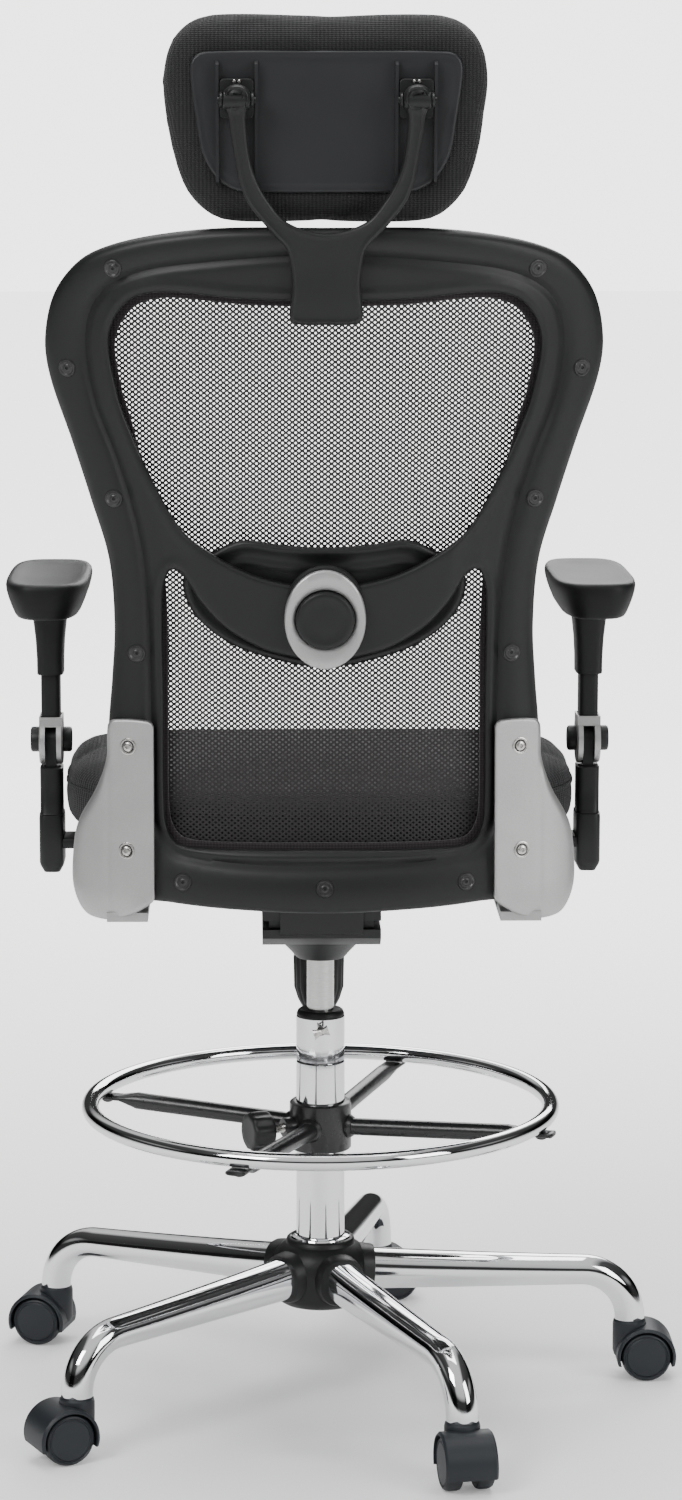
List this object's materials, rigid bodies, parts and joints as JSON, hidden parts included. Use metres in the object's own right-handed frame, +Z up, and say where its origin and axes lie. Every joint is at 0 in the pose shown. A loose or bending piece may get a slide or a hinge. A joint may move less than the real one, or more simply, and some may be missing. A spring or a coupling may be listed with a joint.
{
  "type": "drafting chair",
  "caption": "Tall swivel chair with a mesh back, headrest, flip-up arms, a foot ring on the column and a plated star base on twin-wheel casters.",
  "frame": {"origin": "on the floor, under the middle of the chair's bounding box; the column's axis stands 23 mm to -X and 6 mm to -Y of it", "axes": "+Z up along the column, the sitter faces +Y, +X is the sitter's right"},
  "size_m": [0.7117, 0.7142, 1.4126],
  "materials": {
    "chrome": "mirror-bright plated steel tube",
    "black_plastic": "fine-grained matte black moulding",
    "slate_plastic": "satin blue-black nylon",
    "satin_silver": "satin silver, lightly sparkled",
    "bright_steel": "plated fasteners and ground rod",
    "black_mesh": "see-through woven mesh, stretched",
    "black_fabric": "black knitted spacer fabric over foam",
    "arm_pad_rubber": "soft self-skinned foam, satin"
  },
  "bodies": {
    "base": {"base_hub": "black_plastic", "base_leg_1": "chrome", "base_leg_2": "chrome", "base_leg_3": "chrome", "base_leg_4": "chrome", "base_leg_5": "chrome", "column_tube": "chrome", "column_collar": "chrome", "column_bush": "black_plastic"},
    "collar_screw": {"collar_screw": "bright_steel"},
    "foot_ring": {"foot_ring": "chrome", "foot_ring_spider": "black_plastic"},
    "foot_ring_knob": {"foot_ring_knob": "black_plastic"},
    "gas_rod": {"piston_rod": "bright_steel"},
    "lift": {"gas_cylinder": "chrome", "mechanism_housing": "black_plastic", "tilt_pin": "bright_steel"},
    "tension_knob": {"tension_knob": "black_plastic"},
    "height_lever": {"height_lever": "black_plastic"},
    "tilt_lock_lever": {"tilt_lock_lever": "black_plastic"},
    "seat": {"seat_plate": "black_plastic", "seat_pan": "black_plastic", "seat_cushion": "black_fabric", "back_frame": "black_plastic", "mesh_carrier": "black_plastic", "mesh_panel": "black_mesh", "lumbar_bezel": "satin_silver", "back_bracket_left": "satin_silver", "back_bracket_right": "satin_silver", "bracket_bolts_left": "bright_steel", "bracket_bolts_right": "bright_steel", "headrest_yoke": "black_plastic", "arm_support_left": "black_plastic", "arm_support_right": "black_plastic"},
    "lumbar_knob": {"lumbar_knob": "black_plastic"},
    "lumbar_pad": {"lumbar_pad": "black_plastic"},
    "headrest_tilt": {"headrest_slider_left": "black_plastic", "headrest_slider_right": "black_plastic"},
    "headrest": {"headrest_panel": "black_plastic", "headrest_cushion": "black_fabric"},
    "caster_1": {"caster_hood_1": "slate_plastic"},
    "wheels_1": {"caster_wheels_1": "slate_plastic"},
    "caster_2": {"caster_hood_2": "slate_plastic"},
    "wheels_2": {"caster_wheels_2": "slate_plastic"},
    "caster_3": {"caster_hood_3": "slate_plastic"},
    "wheels_3": {"caster_wheels_3": "slate_plastic"},
    "caster_4": {"caster_hood_4": "slate_plastic"},
    "wheels_4": {"caster_wheels_4": "slate_plastic"},
    "caster_5": {"caster_hood_5": "slate_plastic"},
    "wheels_5": {"caster_wheels_5": "slate_plastic"},
    "arm_left": {"arm_clamp_left": "satin_silver", "arm_pivot_bolt_left": "black_plastic", "arm_tube_left": "black_plastic"},
    "arm_rest_left": {"arm_sleeve_left": "black_plastic", "arm_pad_left": "arm_pad_rubber"},
    "arm_right": {"arm_clamp_right": "satin_silver", "arm_pivot_bolt_right": "black_plastic", "arm_tube_right": "black_plastic"},
    "arm_rest_right": {"arm_sleeve_right": "black_plastic", "arm_pad_right": "arm_pad_rubber"}
  },
  "joints": [
    {"name": "caster_1_swivel", "type": "hinge", "parent": "base", "child": "caster_1", "pos_m": [0.1095, -0.30714, 0.05], "axis": [0, 0, 1], "continuous": true},
    {"name": "caster_1_roll", "type": "hinge", "parent": "caster_1", "child": "wheels_1", "pos_m": [0.11237, -0.32339, 0.0265], "axis": [0.9848, 0.1736, 0], "continuous": true},
    {"name": "caster_2_swivel", "type": "hinge", "parent": "base", "child": "caster_2", "pos_m": [0.30434, 0.02696, 0.05], "axis": [0, 0, 1], "continuous": true},
    {"name": "caster_2_roll", "type": "hinge", "parent": "caster_2", "child": "wheels_2", "pos_m": [0.32084, 0.02696, 0.0265], "axis": [0, 1, 0], "continuous": true},
    {"name": "caster_3_swivel", "type": "hinge", "parent": "base", "child": "caster_3", "pos_m": [0.04681, 0.31551, 0.05], "axis": [0, 0, 1], "continuous": true},
    {"name": "caster_3_roll", "type": "hinge", "parent": "caster_3", "child": "wheels_3", "pos_m": [0.06231, 0.32115, 0.0265], "axis": [-0.342, 0.9397, 0], "continuous": true},
    {"name": "caster_4_swivel", "type": "hinge", "parent": "base", "child": "caster_4", "pos_m": [-0.3072, 0.15974, 0.05], "axis": [0, 0, 1], "continuous": true},
    {"name": "caster_4_roll", "type": "hinge", "parent": "caster_4", "child": "wheels_4", "pos_m": [-0.32314, 0.16401, 0.0265], "axis": [-0.2588, -0.9659, 0], "continuous": true},
    {"name": "caster_5_swivel", "type": "hinge", "parent": "base", "child": "caster_5", "pos_m": [-0.26845, -0.22508, 0.05], "axis": [0, 0, 1], "continuous": true},
    {"name": "caster_5_roll", "type": "hinge", "parent": "caster_5", "child": "wheels_5", "pos_m": [-0.28341, -0.23205, 0.0265], "axis": [0.4226, -0.9063, 0], "continuous": true},
    {"name": "collar_screw_turn", "type": "hinge", "parent": "base", "child": "collar_screw", "pos_m": [-0.023, -0.036, 0.39], "axis": [0, 1, 0], "continuous": true},
    {"name": "foot_ring_height", "type": "slide", "parent": "base", "child": "foot_ring", "axis": [0, 0, 1], "range_m": [-0.085, 0.04]},
    {"name": "foot_ring_knob_turn", "type": "hinge", "parent": "foot_ring", "child": "foot_ring_knob", "pos_m": [-0.07738, -0.03136, 0.284], "axis": [-0.9063, -0.4226, 0], "continuous": true},
    {"name": "seat_swivel", "type": "hinge", "parent": "base", "child": "gas_rod", "pos_m": [-0.023, -0.006, 0.3], "axis": [0, 0, 1], "continuous": true},
    {"name": "seat_height", "type": "slide", "parent": "gas_rod", "child": "lift", "axis": [0, 0, 1], "range_m": [0, 0.2]},
    {"name": "tension_knob_turn", "type": "hinge", "parent": "lift", "child": "tension_knob", "pos_m": [-0.023, 0.089, 0.4238], "axis": [0, 0, 1], "continuous": true},
    {"name": "height_lever_pull", "type": "hinge", "parent": "lift", "child": "height_lever", "pos_m": [0.0373, -0.018, 0.5223], "axis": [0, -1, 0], "range_deg": [0, 8], "stiffness_Nm_per_rad": 0.8, "springref_deg": -17.19},
    {"name": "tilt_lock_turn", "type": "hinge", "parent": "lift", "child": "tilt_lock_lever", "pos_m": [-0.0833, -0.018, 0.5223], "axis": [0, 1, 0], "range_deg": [0, 8]},
    {"name": "seat_tilt", "type": "hinge", "parent": "lift", "child": "seat", "pos_m": [-0.023, 0.054, 0.5538], "axis": [1, 0, 0], "range_deg": [0, 14], "stiffness_Nm_per_rad": 140, "springref_deg": -20.05},
    {"name": "lumbar_knob_turn", "type": "hinge", "parent": "seat", "child": "lumbar_knob", "pos_m": [-0.023, -0.24782, 0.8433], "axis": [0, -0.993, -0.1179], "range_deg": [0, 180]},
    {"name": "lumbar_depth", "type": "slide", "parent": "seat", "child": "lumbar_pad", "axis": [0, 0.993, 0.1179], "range_m": [0, 0.0105]},
    {"name": "headrest_tilt", "type": "hinge", "parent": "seat", "child": "headrest_tilt", "pos_m": [-0.023, -0.34605, 1.3293], "axis": [1, 0, 0], "range_deg": [0, 25]},
    {"name": "headrest_height", "type": "slide", "parent": "headrest_tilt", "child": "headrest", "axis": [0, -0.0872, 0.9962], "range_m": [0, 0.05]},
    {"name": "arm_left_flip", "type": "hinge", "parent": "seat", "child": "arm_left", "pos_m": [-0.2995, 0.029, 0.6833], "axis": [1, 0, 0], "range_deg": [0, 90]},
    {"name": "arm_left_height", "type": "slide", "parent": "arm_left", "child": "arm_rest_left", "axis": [0, 0, 1], "range_m": [-0.025, 0.025]},
    {"name": "arm_right_flip", "type": "hinge", "parent": "seat", "child": "arm_right", "pos_m": [0.2535, 0.029, 0.6833], "axis": [1, 0, 0], "range_deg": [0, 90]},
    {"name": "arm_right_height", "type": "slide", "parent": "arm_right", "child": "arm_rest_right", "axis": [0, 0, 1], "range_m": [-0.025, 0.025]}
  ],
  "couplings": [
    {"joint": "lumbar_knob_turn", "follows": "lumbar_depth", "rad_per_m": 299.19}
  ]
}
